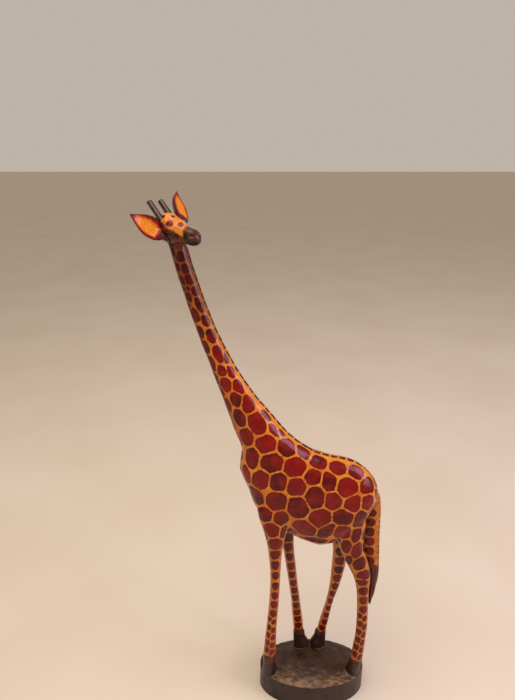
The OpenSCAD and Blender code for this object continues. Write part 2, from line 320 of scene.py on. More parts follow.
# The head is small beside the rest, so its skin is divided once more before it is cut.
fine = bmesh.new()
fine.from_mesh(figure.data)
head_edges = [e for e in fine.edges if min(v.co.z for v in e.verts) > head_foot_z]
bmesh.ops.subdivide_edges(fine, edges=head_edges, cuts=1, use_grid_fill=True, smooth=1.0)
fine.to_mesh(figure.data)
fine.free()
figure.data.polygons.foreach_set("use_smooth", np.ones(len(figure.data.polygons), bool))

places, facings = skin_of(figure)


def in_head(points):
    """Millimetres forward, right and up from the middle of the head."""
    off = (points - head_middle) / MM
    return off @ head_fore, off @ head_right, off @ head_up


def hump(distance, size):
    """1 at a distance of 0, falling softly to 0 at size."""
    return 1 - ramp(distance, 0, size)


forward, right, up = in_head(places)
head = ramp(places[:, 2], head_foot_z - 2 * MM, head_foot_z + 4 * MM)
side = np.abs(right)
eye = np.sqrt((forward - 8.5) ** 2 * 0.7 + (up + 0.3) ** 2 * 1.3 + (side - 10) ** 2 * 0.5)
brow = np.sqrt(((forward - 7) / 2.3) ** 2 + (up - 4.3) ** 2 + ((side - 8.5) / 1.5) ** 2)
nostril = np.sqrt(((forward - 30.5) / 1.5) ** 2 + (up - 0.2) ** 2 + (side - 4.6) ** 2)
lips = np.abs(up + 7.2 - 0.06 * (forward - 18))
cheek = np.sqrt(((forward + 3) / 1.3) ** 2 + (up + 6) ** 2 + ((side - 9) / 1.5) ** 2)
bridge = np.sqrt(((forward - 12) / 2.2) ** 2 + (side / 1.1) ** 2 + ((up - 8) / 1.2) ** 2)
relief = (1.5 * hump(eye, 4.4) - 0.7 * hump(np.abs(eye - 3.9), 0.9) + 1.1 * hump(brow, 3.6)
          - 1.5 * hump(nostril, 2.1) + 0.5 * hump(np.abs(nostril - 2.6), 1.0)
          - 0.9 * hump(lips, 1.3) * ramp(forward, 15, 19) + 0.6 * hump(cheek, 5)
          + 0.5 * hump(bridge, 4))
places += facings * (relief * head * MM)[:, None]

# Knife work: a low crest for the mane, long soft flats down the neck and legs, and small dents.
across = np.abs(places[:, 1]) / MM
spine = facings @ neck_back
crest = ramp(spine, 0.5, 0.9) * hump(across, 3.5) * ramp(places[:, 2], 300 * MM, 350 * MM)
flats = wander(places * np.array([1, 1, 0.3]), 11 * MM, 5)
dents = wander(places, 5 * MM, 8)
places += facings * ((0.9 * crest * (1 - head) + (0.45 * flats + 0.13 * dents) * (1 - head)) * MM)[:, None]

reshape(figure, places)
places, facings = skin_of(figure)
forward, right, up = in_head(places)
x, y, z = places.T

# Spots as the painter lays them on the flank: along and up in mm, half length, half width, tilt.
# The tilt is the way of the long half, in degrees up from level towards the tail.
flank_spots = [
    # lower neck and shoulder
    (-86, 384, 10.5, 6, 108), (-79.5, 363, 10.5, 7.5, 100), (-68.5, 379, 12.5, 8.5, 112),
    (-51, 370, 8.5, 4, 124), (-59.5, 357, 10.5, 9.8, 0), (-38, 351.5, 10.8, 9, 135),
    (-59, 385, 7.5, 3.5, 128), (-43.5, 365.5, 6, 3, 130), (-20, 343, 9.8, 6, 128),
    # along the back to the rump
    (-4.5, 333, 10, 7, 160), (16, 326, 10, 7, 168), (36, 320, 10, 6.8, 145),
    (48.5, 305, 9.5, 9, 100), (61, 291, 8.5, 4.5, 110),
    # upper flank
    (-74, 340, 12.5, 7.5, 88), (-53, 336, 11.8, 11.5, 0), (-29.5, 331, 12, 10.8, 0),
    (-10, 319.5, 9.5, 8.6, 160), (7, 313.5, 11.4, 8, 108), (26, 306, 12, 11, 0),
    # middle of the flank
    (-80, 318, 11.5, 5.5, 95), (-65, 315, 12.5, 9.4, 70), (-46.5, 315, 11.6, 9.4, 90),
    (-27.5, 309, 11, 10, 90), (-7.5, 296, 13.5, 10.6, 95), (11.5, 292.5, 11.5, 9.4, 90),
    (33, 288, 11, 9.2, 75), (49, 287, 10.6, 7.6, 85),
    # lower flank
    (-70, 292, 12.5, 8.8, 115), (-47.5, 290, 12.5, 11.5, 90), (-25.5, 284, 14, 11.6, 105),
    (-1, 270, 13, 12, 60), (23, 271.5, 12, 10.6, 165), (42.5, 267, 13.6, 7.8, 80),
    # belly and the tops of the legs
    (-61, 271.5, 9.6, 9, 160), (-43, 268.5, 10.4, 8.2, 90), (-17, 255, 14, 10.8, 142),
    (6, 253, 13, 7.6, 55), (24, 250.5, 11, 9.4, 110), (40, 246, 10.6, 6, 85),
    (-53, 252.5, 9.8, 9, 90), (-39.5, 248, 8.6, 4.6, 85), (-4, 236, 12.5, 5.5, 0),
    (29.5, 229.5, 9, 6, 85), (42, 223.5, 11, 6.6, 85), (-49, 233, 8.6, 8.2, 0),
    (34, 210, 7.4, 4, 80), (46, 205.5, 9, 7.4, 85), (52, 187.5, 8.4, 7.8, 90),
]
# The same for the neck, where each spot is drawn out along it: half length and half width.
neck_spots = [
    (-88.5, 404.5, 8.8, 6.4), (-99.6, 420.5, 8, 5.8), (-103.2, 435, 6.6, 4.8), (-106, 452.5, 9.6, 4.6),
    (-112.5, 471, 8.6, 4.2), (-117.3, 485.5, 7, 3.6), (-122.6, 501.5, 9, 3.4), (-126.2, 514.5, 5.6, 3.2),
    (-131.2, 525.5, 5.6, 4), (-134.6, 536, 5, 4.2), (-137.8, 547, 5, 4.2),
    (-78, 399, 10, 7), (-87.2, 417.5, 8.6, 5), (-94.2, 433.5, 7.4, 3.6), (-99, 447, 7, 2.6),
    (-98.5, 398, 8.5, 4), (-104.5, 411, 8, 4), (-109.5, 426, 9, 3.6), (-112.8, 442, 9, 4),
    (-119, 459.5, 7.6, 4.2), (-123, 474.5, 6.6, 3.8), (-127.4, 491.5, 7.6, 4.2), (-132.8, 509, 5.8, 3.4),
    (-137.6, 524.5, 5, 2.8), (-141, 537, 4.4, 2.6),
]
# Spots on the head: mm forward, right and up, and half width.
head_spots = [
    (7, 6, 7.5, 3.1), (7, -6, 7.5, 3.1), (15.5, 1.5, 6.5, 2.2), (-2.3, 4.5, 12, 2.4), (-2.3, -4.5, 12, 2.4),
    (5, -0.5, 11, 1.6), (0, 9.5, 6.5, 2.2), (0, -9.5, 6.5, 2.2), (-3, 12, 1, 3), (-3, -12, 1, 3),
    (-10, 9, -3, 3.4), (-10, -9, -3, 3.4), (3, 11, -5.5, 2.8), (3, -11, -5.5, 2.8), (14.5, 8, -1.5, 2.4),
    (14.5, -8, -1.5, 2.4), (-4, 9, -8.5, 3), (-4, -9, -8.5, 3), (-13, 0, 9, 3), (-16, 5, 3, 2.8),
    (-16, -5, 3, 2.8), (4, 5, -11, 3), (4, -5, -11, 3), (12, 5, -8, 2.4), (12, -5, -8, 2.4),
]
# By height in mm: how wide the amber line between spots is, and half the width of an added spot
line_at_height = [(60, 1.1), (200, 1.4), (240, 1.8), (340, 1.9), (400, 1.5), (550, 1.2)]
size_at_height = [(215, 6), (250, 9), (345, 8.5), (420, 5), (550, 3.2)]
spot_fullness = 1.07
most_added_spots = 420
least_bare_share = 0.62
# Height of the foot of the paint on each leg: (far side, hind) gives mm
boot_tops = {(False, False): 67.5, (False, True): 60, (True, False): 71, (True, True): 66}
# Height at which the dots of each leg meet the spots of the flank, for the same legs
leg_dots_end = {(False, False): 226, (False, True): 184, (True, False): 236, (True, True): 222}
leg_first_dot = 6.0
leg_first_step = 11.0
leg_step_growth = 1.035
lower_leg_z = 128
leg_fill_z = 222
# How far outside a painted shape counts as bare ground, in mm, and what stands in for no spot at all
bare = 8.0
no_spot = 40.0
# How strongly a spot stops where the skin turns away from the face it was laid on
turn_weight = 1.1

bark = BVHTree.FromPolygons([v.co for v in figure.data.vertices],
                            [tuple(p.vertices) for p in figure.data.polygons])
brush = np.random.default_rng(23)
spots = []


def lay(place, facing, way, long, wide):
    """Adds one spot to be painted, with its long half turned into the skin's own plane."""
    facing = np.array(facing)
    way = np.array(way) - facing * np.dot(way, facing)
    spots.append((np.array(place), facing, way / np.linalg.norm(way), long, wide))


def lay_on_side(side, along, height, long, wide, tilt):
    """A spot seen square from one side: side is -1 for the left flank and 1 for the right."""
    start = Vector((along * MM, side * 0.2, height * MM))
    place, facing, _, _ = bark.ray_cast(start, Vector((0, -side, 0)))
    if place is not None:
        way = (math.cos(math.radians(tilt)), 0, math.sin(math.radians(tilt)))
        lay(place, facing, way, long, wide)


neck_tilt = 90 + math.degrees(neck_lean)
for side in (-1, 1):
    for along, height, long, wide, tilt in flank_spots:
        slip = brush.uniform(-2.4, 2.4, 2) if side > 0 else (0, 0)
        long, wide = long * spot_fullness, wide * spot_fullness
        lay_on_side(side, along + slip[0], height + slip[1], long, wide, tilt)
    for along, height, long, wide in neck_spots:
        slip = brush.uniform(-0.8, 0.8) if side > 0 else 0
        long, wide = long * spot_fullness, wide * spot_fullness
        lay_on_side(side, along + slip, height + 2.5 * slip, long, wide, neck_tilt)
for ahead, across, above, wide in head_spots:
    aim = head_middle + (ahead * head_fore + across * head_right + above * head_up) * MM
    place, facing, _, _ = bark.find_nearest(Vector(aim))
    lay(place, facing, head_fore, wide * 1.15, wide)

# Down each leg goes one column of dots on its outer and inner face, or two low on the near legs.
is_far = y > 2 * MM
is_hind = x > 0
for far in (False, True):
    for hind in (False, True):
        height = boot_tops[far, hind] + leg_first_dot
        step = leg_first_step
        while height < leg_dots_end[far, hind]:
            near = (np.abs(z - height * MM) < 1.5 * MM) & (is_far == far) & (is_hind == hind)
            ring = places[near]
            middle = ring.mean(0)
            half_y = (ring[:, 1].max() - ring[:, 1].min()) / 2
            half_x = (ring[:, 0].max() - ring[:, 0].min()) / 2
            columns = (-0.6, 0.35) if height < lower_leg_z and not far else (0.0,)
            for face in (-1, 1):
                for column in columns:
                    rise = 0 if column >= 0 else 0.3 * step * MM
                    aim = middle + np.array([column * half_x, face * half_y, rise])
                    place, facing, _, _ = bark.find_nearest(Vector(aim))
                    wide = (0.54 if column else 0.76) * half_x / MM
                    lay(place, facing, (0, 0, 1), min(0.44 * step, wide * 1.3), wide)
                # A narrow dash between the columns, on the front and the back of the leg
                aim = middle + np.array([face * half_x, 0, 0.5 * step * MM])
                place, facing, _, _ = bark.find_nearest(Vector(aim))
                lay(place, facing, (0, 0, 1), 0.36 * step, 0.24 * half_y / MM)
            height += step
            step *= leg_step_growth

# For each point of the skin: how far it lies outside the nearest two spots, and which is nearest
nearest = np.full((2, len(places)), no_spot)
owner = np.zeros(len(places), int)


def brush_on(number):
    """Works out how far each point lies outside one spot, in mm, and keeps the nearest two."""
    place, facing, way, long, wide = spots[number]
    off = (places - place) / MM
    along = off @ way
    across = np.maximum((off ** 2).sum(1) - along ** 2, 0)
    turned = turn_weight * np.clip(1 - facings @ facing - 0.3, 0, 2)
    outside = (np.sqrt((along / long) ** 2 + across / wide ** 2 + turned ** 2) - 1) * math.sqrt(long * wide)
    closer = outside < nearest[0]
    nearest[1] = np.where(closer, nearest[0], np.minimum(nearest[1], outside))
    nearest[0] = np.where(closer, outside, nearest[0])
    owner[closer] = number


for number in range(len(spots)):
    brush_on(number)

# Wherever the ground is still bare and wide enough, the painter adds one more spot.
height = z / MM
fill_size = np.interp(height, *zip(*size_at_height))
mane_side = facings @ neck_back > 0.2
on_mane = mane_side & (np.abs(y) < 6.5 * MM) & (z > 285 * MM) & (x < rump_x)
bare_ok = (z > leg_fill_z * MM) & (z < head_foot_z) & ~on_mane
for _ in range(most_added_spots):
    room = np.where(bare_ok, nearest[0] / fill_size, 0)
    pick = int(room.argmax())
    if room[pick] < least_bare_share:
        break
    wide = min(fill_size[pick], nearest[0, pick] * 1.1) * brush.uniform(0.9, 1.05)
    drawn_out = 1.45 if z[pick] > 375 * MM else 1.15
    way = neck_way if z[pick] > neck_foot_z else np.array([0, 0, 1])
    if abs(facings[pick] @ way) > 0.9:
        way = np.array([1.0, 0, 0])
    lay(places[pick], facings[pick], way, wide * drawn_out, wide)
    brush_on(len(spots) - 1)


def soft_larger(a, b, blend):
    """The larger of two distances, rounded where they meet."""
    return 0.5 * (a + b + np.sqrt((a - b) ** 2 + blend ** 2))


line = np.interp(height, *zip(*line_at_height))
spot = soft_larger(nearest[0], 0.5 * (nearest[0] - nearest[1] + line), 0.45 * line)
tones = brush.uniform(0, 1, len(spots))

# The mane and the eel stripe: dark dashes down the back of the neck and along the spine.
dash_long = 9.0
dash_share = 0.86
run = np.where(z > neck_foot_z, (places @ neck_way) / MM, -x / MM)
dash = (np.abs((run / dash_long) % 1 - 0.5) * 2 - dash_share) * dash_long / 2
stripe_half = np.interp(height, [285, 330, 400, 550], [2.1, 2.4, 2.6, 2.6])
mane = soft_larger(np.abs(y) / MM - stripe_half, dash, 1.0)
mane = np.where((facings @ neck_back > 0.35) & (z > 285 * MM) & (x < rump_x), mane, bare)
mane = np.where(head > 0.5, bare, mane)

# Dark brown goes over the muzzle, the eyes and the foot of each leg.
boot_top = np.select([is_far & is_hind, is_far, is_hind],
                     [boot_tops[True, True], boot_tops[True, False], boot_tops[False, True]],
                     boot_tops[False, False])
boot = height - boot_top + 1.2 * np.sin(x / (2.1 * MM)) * np.cos(y / (1.7 * MM))
muzzle = 21.0 - forward - 0.25 * up
eye_now = np.sqrt((forward - 8.5) ** 2 * 0.7 + (up + 0.3) ** 2 * 1.3 + (np.abs(right) - 10.5) ** 2 * 0.35)
dark = np.minimum(boot, np.where(head > 0.5, np.minimum(muzzle, eye_now - 3.1), bare))
# Black paint on the pupils, and black as painted shade over the lower back of the muzzle and along its
# underside.
jaw_shade = np.minimum(np.maximum(forward - 25.5, up - 1.5), up + 3.5 - 0.35 * (26 - forward))
pupil = eye_now - 2.3
black_and_shade = np.where(head > 0.5, np.minimum(np.maximum(21.8 - forward, jaw_shade), pupil), bare)
mark(figure, "spot", spot)
mark(figure, "tone", tones[owner])
mark(figure, "mane", mane)
mark(figure, "dark", dark)
mark(figure, "black_and_shade", black_and_shade)
# A dark layer over the ground, partly a thin wash and partly painted shade: up the neck and over the cheeks
# below the brow, down the throat, and lightly under the belly and down the legs, where shade falls.
brow_edge = up - 7.3 + 0.52 * (forward - 3) + 1.3 * wander(places, 4 * MM, 12)
shade_and_wash = (0.85 * ramp(height, 430, 548) + 0.1 * head) * (1 - ramp(brow_edge, -1.2, 1.2) * head)
throat = ramp(-(facings @ neck_back), 0.35, 0.85) * ramp(height, 330, 400)
shade_and_wash = np.maximum(shade_and_wash, 0.8 * throat * (1 - head))
shade_and_wash = np.maximum(shade_and_wash, 0.3 * ramp(-height, -315, -215))
mark(figure, "shade_and_wash", shade_and_wash)

# Painted wood under varnish. The amber ground is thin, so the grain shows through it a little. The
# spots are a deep red stain, darker at the rim where the brush stopped, and no two are quite alike.
# The varnish is thick and clear, with faint dimples, and gives long cool highlights.
painted_wood, paint = new_finish("varnished_painted_wood")
hand_shake = lumps(paint, 3.2 * MM, 2.0)
wobble = add(paint, "ShaderNodeMapRange", Value=hand_shake, From_Min=0.25, From_Max=0.75,
             To_Min=-0.55, To_Max=0.55)
strokes = lumps(paint, 1.6 * MM, 3.0, (1, 1, 5))
clouds = lumps(paint, 12 * MM, 3.0)


def painted_edge(name, soft):
    """How far a point lies outside a painted shape in mm, and how much of it the shape covers."""
    stored = add(paint, "ShaderNodeAttribute", 2, attribute_name=name)
    wavy = add(paint, "ShaderNodeMath", operation="ADD", Value=stored, Value_001=wobble)
    return wavy, add(paint, "ShaderNodeMapRange", Value=wavy, From_Min=soft, From_Max=-soft)


spot_outside, spot_covers = painted_edge("spot", 0.3)
_, mane_covers = painted_edge("mane", 0.3)
_, dark_covers = painted_edge("dark", 0.8)
_, black_and_shade_covers = painted_edge("black_and_shade", 0.9)
shade_and_wash_share = add(paint, "ShaderNodeAttribute", 2, attribute_name="shade_and_wash")
tone_share = add(paint, "ShaderNodeAttribute", 2, attribute_name="tone")

stroke_share = add(paint, "ShaderNodeMapRange", Value=strokes, From_Min=0.3, From_Max=0.7)
amber_thin = add(paint, "ShaderNodeMix", 2, data_type="RGBA", Factor_Float=stroke_share,
                 A_Color="B66212", B_Color="D98A2C")
thick_share = add(paint, "ShaderNodeMapRange", Value=clouds, From_Min=0.35, From_Max=0.7, To_Max=0.6)
amber_thick = add(paint, "ShaderNodeMix", 2, data_type="RGBA", Factor_Float=thick_share,
                  A_Color=amber_thin, B_Color="A04510")
halo_share = add(paint, "ShaderNodeMapRange", Value=spot_outside, From_Min=0.8, From_Max=0.1, To_Max=0.5)
amber_haloed = add(paint, "ShaderNodeMix", 2, data_type="RGBA", Factor_Float=halo_share,
                   A_Color=amber_thick, B_Color="9A3A0E")
# The ground is darker up the neck, over the cheeks and low down than on the brow: a wash and painted shade.
amber = add(paint, "ShaderNodeMix", 2, data_type="RGBA", Factor_Float=shade_and_wash_share,
            A_Color=amber_haloed, B_Color="4E1A0B")

red_plain = add(paint, "ShaderNodeMix", 2, data_type="RGBA", Factor_Float=tone_share,
                A_Color="3E0307", B_Color="720804")
pool_share = add(paint, "ShaderNodeMapRange", Value=clouds, From_Min=0.42, From_Max=0.66, To_Max=0.6)
red_pooled = add(paint, "ShaderNodeMix", 2, data_type="RGBA", Factor_Float=pool_share,
                 A_Color=red_plain, B_Color="8C1008")
# The spots take the same wash and painted shade as the ground.
red_shade_and_wash = add(paint, "ShaderNodeMix", 2, data_type="RGBA", Factor_Float=shade_and_wash_share,
                A_Color=red_pooled, B_Color="2A0403")
rim_share = add(paint, "ShaderNodeMapRange", Value=spot_outside, From_Min=-1.5, From_Max=-0.3, To_Max=0.7)
red = add(paint, "ShaderNodeMix", 2, data_type="RGBA", Factor_Float=rim_share,
          A_Color=red_shade_and_wash, B_Color="2E0304")

chocolate = add(paint, "ShaderNodeMix", 2, data_type="RGBA", Factor_Float=clouds,
                A_Color="2A110B", B_Color="5C2A18")
with_spots = add(paint, "ShaderNodeMix", 2, data_type="RGBA", Factor_Float=spot_covers,
                 A_Color=amber, B_Color=red)
with_mane = add(paint, "ShaderNodeMix", 2, data_type="RGBA", Factor_Float=mane_covers,
                A_Color=with_spots, B_Color="380D0A")
with_dark = add(paint, "ShaderNodeMix", 2, data_type="RGBA", Factor_Float=dark_covers,
                A_Color=with_mane, B_Color=chocolate)
# Black paint on the pupils, and black painted shade low on the muzzle.
paint_colour = add(paint, "ShaderNodeMix", 2, data_type="RGBA", Factor_Float=black_and_shade_covers,
                   A_Color=with_dark, B_Color="120B0A")
paint_rough = add(paint, "ShaderNodeMapRange", Value=strokes, From_Min=0.2, From_Max=0.8,
                  To_Min=0.3, To_Max=0.42)
paint_relief = add(paint, "ShaderNodeMath", operation="MULTIPLY_ADD", Value=strokes, Value_001=0.5,
                   Value_002=clouds)
finished(paint, paint_colour, paint_rough, paint_relief, 0.1 * MM,
         Specular_IOR_Level=0.04, Coat_Weight=0.9, Coat_Roughness=0.15, Coat_IOR=1.3)
coat(figure, painted_wood)
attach(figure, "root")
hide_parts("figure")

# ---------------------------------------------------------------------------
# Tail.
# A flat blade split from the same wood, let into the rump with a round tenon and glued, and lying
# against the near hock. It has one column of dots, thin dark dashes down its back edge and a dark
# brown tuft.
# ---------------------------------------------------------------------------
tail = carved("tail_blade", "tail", 0.8 * MM, 5)
places, facings = skin_of(tail)
x, y, z = places.T
height = z / MM
tail_top, tail_foot = height.max(), height.min()
tuft_top = tail_foot + 0.4 * (tail_top - tail_foot)
strands = np.sin(x / (0.55 * MM) + 2 * wander(places, 14 * MM, 4)) * ramp(-height, -tuft_top, -tuft_top + 8)
places += facings * ((0.22 * strands + 0.3 * wander(places, 9 * MM, 6)) * MM)[:, None]
reshape(tail, places)

levels = np.linspace(tail_foot, tail_top, 60)
left = np.array([x[np.abs(height - level) < 3].min() for level in levels]) / MM
right = np.array([x[np.abs(height - level) < 3].max() for level in levels]) / MM
left_now, right_now = np.interp(height, levels, left), np.interp(height, levels, right)
share = (x / MM - left_now) / np.maximum(right_now - left_now, 1)
dot_step = 12.5
dot_rise = (height - tuft_top + dot_step / 3) % dot_step - dot_step / 2
dot_off = (share - 0.36) * (right_now - left_now)
dots = np.sqrt((dot_rise / 1.15) ** 2 + dot_off ** 2) - 0.26 * (right_now - left_now)
mark(tail, "spot", np.where(height > tuft_top - 4, dots, bare))
mark(tail, "tone", np.floor((height - tuft_top + dot_step / 3) / dot_step) * 0.37 % 1)
dash = (np.abs((height / 8) % 1 - 0.5) * 2 - 0.7) * 4
mark(tail, "mane", soft_larger(0.83 - share, 0, 0.02) * 12 + np.maximum(dash, 0))
mark(tail, "dark", height - tuft_top + 10 * (share - 0.3))
mark(tail, "black_and_shade", np.full(len(places), bare))
# The tail, lying back against the hock, takes a light painted shade all over.
mark(tail, "shade_and_wash", np.full(len(places), 0.25))
coat(tail, painted_wood)
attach(tail, "root")
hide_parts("tail")

# ---------------------------------------------------------------------------
# Ears.
# Two thin leaves, each whittled with a tenon at its foot and glued into the head. The face is
# scooped out and painted amber inside a deep red rim, and the back is the same deep red all over.
# ---------------------------------------------------------------------------
ear_tip_way = {"ear_right": (-0.58, 0.52, 0.72), "ear_left": (-0.65, -0.55, 0.53)}
ear_hollow_way = {"ear_right": (0.64, 0.22, 0.66), "ear_left": (0.66, -0.5, 0.56)}
ear_scoop = 2.1 * MM
# In mm: the red rim, how much wider it is towards the crown, the red foot, and a value for all red
ear_rim = 2.3
ear_band = 3.0
ear_foot = 8.2
all_rim = 3.0

# The same paint and varnish as the body, on end grain that has drunk more of it: the amber is warmer
# and mottled, and a red band, left wide on the side towards the crown, runs round it.
painted_ear, leaf = new_finish("varnished_painted_ear")
leaf_fibres = lumps(leaf, 1.8 * MM, 3.0)
leaf_shake = lumps(leaf, 3 * MM, 2.0)
leaf_wobble = add(leaf, "ShaderNodeMapRange", Value=leaf_shake, From_Min=0.25, From_Max=0.75,
                  To_Min=-0.5, To_Max=0.5)
leaf_rim = add(leaf, "ShaderNodeAttribute", 2, attribute_name="rim")
leaf_edge = add(leaf, "ShaderNodeMath", operation="ADD", Value=leaf_rim, Value_001=leaf_wobble)
leaf_share = add(leaf, "ShaderNodeMapRange", Value=leaf_fibres, From_Min=0.3, From_Max=0.7)
leaf_ground = add(leaf, "ShaderNodeMix", 2, data_type="RGBA", Factor_Float=leaf_share,
                  A_Color="B05E06", B_Color="CC7E16")
leaf_near_rim = add(leaf, "ShaderNodeMapRange", Value=leaf_edge, From_Min=-1.6, From_Max=-0.1)
leaf_amber = add(leaf, "ShaderNodeMix", 2, data_type="RGBA", Factor_Float=leaf_near_rim,
                 A_Color=leaf_ground, B_Color="B4430E")
leaf_red_new = add(leaf, "ShaderNodeMix", 2, data_type="RGBA", Factor_Float=leaf_share,
                   A_Color="4A0507", B_Color="86100D")
leaf_deep = add(leaf, "ShaderNodeMapRange", Value=leaf_edge, From_Min=1.2, From_Max=3.2)
leaf_red = add(leaf, "ShaderNodeMix", 2, data_type="RGBA", Factor_Float=leaf_deep,
               A_Color=leaf_red_new, B_Color="3A0808")
leaf_covers = add(leaf, "ShaderNodeMapRange", Value=leaf_edge, From_Min=-0.3, From_Max=0.3)
leaf_colour = add(leaf, "ShaderNodeMix", 2, data_type="RGBA", Factor_Float=leaf_covers,
                  A_Color=leaf_amber, B_Color=leaf_red)
leaf_rough = add(leaf, "ShaderNodeMapRange", Value=leaf_fibres, From_Min=0.2, From_Max=0.8,
                 To_Min=0.32, To_Max=0.45)
finished(leaf, leaf_colour, leaf_rough, leaf_fibres, 0.08 * MM,
         Specular_IOR_Level=0.04, Coat_Weight=0.8, Coat_Roughness=0.2, Coat_IOR=1.3)


def head_way(way):
    """A way given as forward, right and up of the head, in the frame's own axes."""
    turned = way[0] * head_fore + way[1] * head_right + way[2] * head_up
    return turned / np.linalg.norm(turned)


for node in ("ear_right", "ear_left"):
    ear = carved(node + "_leaf", node, 0.45 * MM, 4)
    places, facings = skin_of(ear)
    tip = head_way(ear_tip_way[node])
    hollow = head_way(ear_hollow_way[node])
    hollow -= tip * (hollow @ tip)
    hollow /= np.linalg.norm(hollow)
    breadth = np.cross(tip, hollow)
    along, broad = places @ tip, places @ breadth
    levels = np.linspace(along.min(), along.max(), 50)
    near = [np.abs(along - level) < 1 * MM for level in levels]
    mid_now = np.interp(along, levels, [(broad[n].max() + broad[n].min()) / 2 for n in near])
    half_now = np.interp(along, levels, [(broad[n].max() - broad[n].min()) / 2 for n in near])
    # Distance from the leaf's outline, measured both across it and back from the tip
    to_crown = np.sign(breadth @ head_right) * (1 if node == "ear_left" else -1)
    off_middle = (broad - mid_now) * to_crown
    down_leaf = (along.max() - along) / (along.max() - along.min())
    crown_room = (half_now - off_middle) / MM - ear_band * ramp(down_leaf, 0.0, 0.7)
    outer_room = (half_now + off_middle) / MM
    tip_room = (along.max() - along) / MM * 0.45
    foot_room = (along - along.min()) / MM * 0.8 - ear_foot
    room = np.minimum(np.minimum(outer_room, tip_room), np.minimum(crown_room, foot_room))
    room = -soft_larger(-room, -foot_room, 1.5)
    faces_out = ramp(facings @ hollow, 0.0, 0.6)
    places -= hollow * (ramp(room, 0.6, 5.5) * faces_out * ear_scoop)[:, None]
    places += facings * (0.18 * wander(places, 5 * MM, 9) * MM)[:, None]
    reshape(ear, places)
    mark(ear, "rim", np.where(faces_out > 0.35, ear_rim - room, all_rim))
    coat(ear, painted_ear)
    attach(ear, "root")
    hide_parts(node)

# ---------------------------------------------------------------------------
# Horns.
# Two whittled pegs glued into holes in the crown. Each keeps the long flats that the knife left, is
# stained dark, and is cut off square at the top, where the bare wood shows pale.
# ---------------------------------------------------------------------------
horn_sides = 20
horn_rings = 28
horn_top_rings = 4
horn_flat_size = 3.5 * MM
horn_flat_deep = 1.0 * MM
# How much the saw left the top of each peg out of square, and how much lower it cut
saw_slant = {"horn_right": -0.22, "horn_left": 0.3}
saw_low = 0.5 * MM

# Stained and varnished like the hooves. The stain sinks into the soft grain, so dark and lighter
# streaks run the length of the peg.
peg_wood, peg_stain = new_finish("stained_peg_wood")
peg_grain = lumps(peg_stain, 1.2 * MM, 4.0, (1, 1, 7))
peg_shades = add(peg_stain, "ShaderNodeMapRange", Value=peg_grain, From_Min=0.35, From_Max=0.68)
peg_colour = add(peg_stain, "ShaderNodeMix", 2, data_type="RGBA", Factor_Float=peg_shades,
                 A_Color="1E0D08", B_Color="4C281B")
peg_rough = add(peg_stain, "ShaderNodeMapRange", Value=peg_grain, From_Min=0.3, From_Max=0.7,
                To_Min=0.28, To_Max=0.45)
finished(peg_stain, peg_colour, peg_rough, peg_grain, 0.12 * MM,
         Specular_IOR_Level=0.1, Coat_Weight=0.8, Coat_Roughness=0.18)

# Bare end grain where the peg was cut off after it had been stained: pale, dry and without a shine.
cut_wood, cut_bare = new_finish("bare_cut_wood")
cut_grain = lumps(cut_bare, 0.7 * MM, 4.0)
cut_shades = add(cut_bare, "ShaderNodeMapRange", Value=cut_grain, From_Min=0.35, From_Max=0.65)
cut_colour = add(cut_bare, "ShaderNodeMix", 2, data_type="RGBA", Factor_Float=cut_shades,
                 A_Color="8D6A45", B_Color="D9C3A0")
cut_rough = add(cut_bare, "ShaderNodeMapRange", Value=cut_grain, From_Min=0.3, From_Max=0.7,
                To_Min=0.55, To_Max=0.75)
finished(cut_bare, cut_colour, cut_rough, cut_grain, 0.1 * MM)


# One tree makes both pegs: a turned blank, its side pared in flats, its top left bare.
peg_tree = bpy.data.node_groups.new("whittled_peg", "GeometryNodeTree")
peg_tree.interface.new_socket("Geometry", in_out="OUTPUT", socket_type="NodeSocketGeometry")
peg_inputs = {}
for label, kind in (("Radius", "Float"), ("Length", "Float"), ("Flat size", "Float"),
                    ("Flat depth", "Float"), ("Seed", "Float")):
    made = peg_tree.interface.new_socket(label, in_out="INPUT", socket_type="NodeSocket" + kind)
    peg_inputs[label] = made.identifier
peg_radius, peg_length, flat_size, flat_depth, peg_seed = [
    add(peg_tree, "NodeGroupInput", number) for number in range(len(peg_inputs))]
blank = add(peg_tree, "GeometryNodeMeshCylinder", Vertices=horn_sides, Side_Segments=horn_rings,
            Fill_Segments=horn_top_rings, Radius=peg_radius, Depth=peg_length)
on_blank = add(peg_tree, "GeometryNodeInputPosition")
drawn = add(peg_tree, "ShaderNodeVectorMath", operation="MULTIPLY", Vector=on_blank,
            Vector_001=(1, 1, 0.3))
fineness = add(peg_tree, "ShaderNodeMath", operation="DIVIDE", Value=1.0, Value_001=flat_size)
pared = add(peg_tree, "ShaderNodeTexNoise", noise_dimensions="4D", Vector=drawn, W=peg_seed,
            Scale=fineness, Detail=1.0)
centred = add(peg_tree, "ShaderNodeMath", operation="SUBTRACT", Value=pared, Value_001=0.55)
depth = add(peg_tree, "ShaderNodeMath", operation="MULTIPLY", Value=centred, Value_001=flat_depth)
facing = add(peg_tree, "GeometryNodeInputNormal")
shift = add(peg_tree, "ShaderNodeVectorMath", operation="SCALE", Vector=facing, Scale=depth)
peg = add(peg_tree, "GeometryNodeSetPosition", Geometry=blank, Offset=shift)
stained = add(peg_tree, "GeometryNodeSetMaterial", Geometry=peg, Material=peg_wood)
upward = add(peg_tree, "ShaderNodeSeparateXYZ", 2, Vector=facing)
is_top = add(peg_tree, "FunctionNodeCompare", operation="GREATER_THAN", A=upward, B=0.8)
topped = add(peg_tree, "GeometryNodeSetMaterial", Geometry=stained, Selection=is_top,
             Material=cut_wood)
real = add(peg_tree, "GeometryNodeRealizeInstances", Geometry=topped)
peg_tree.links.new(real, add(peg_tree, "NodeGroupOutput").inputs[0])

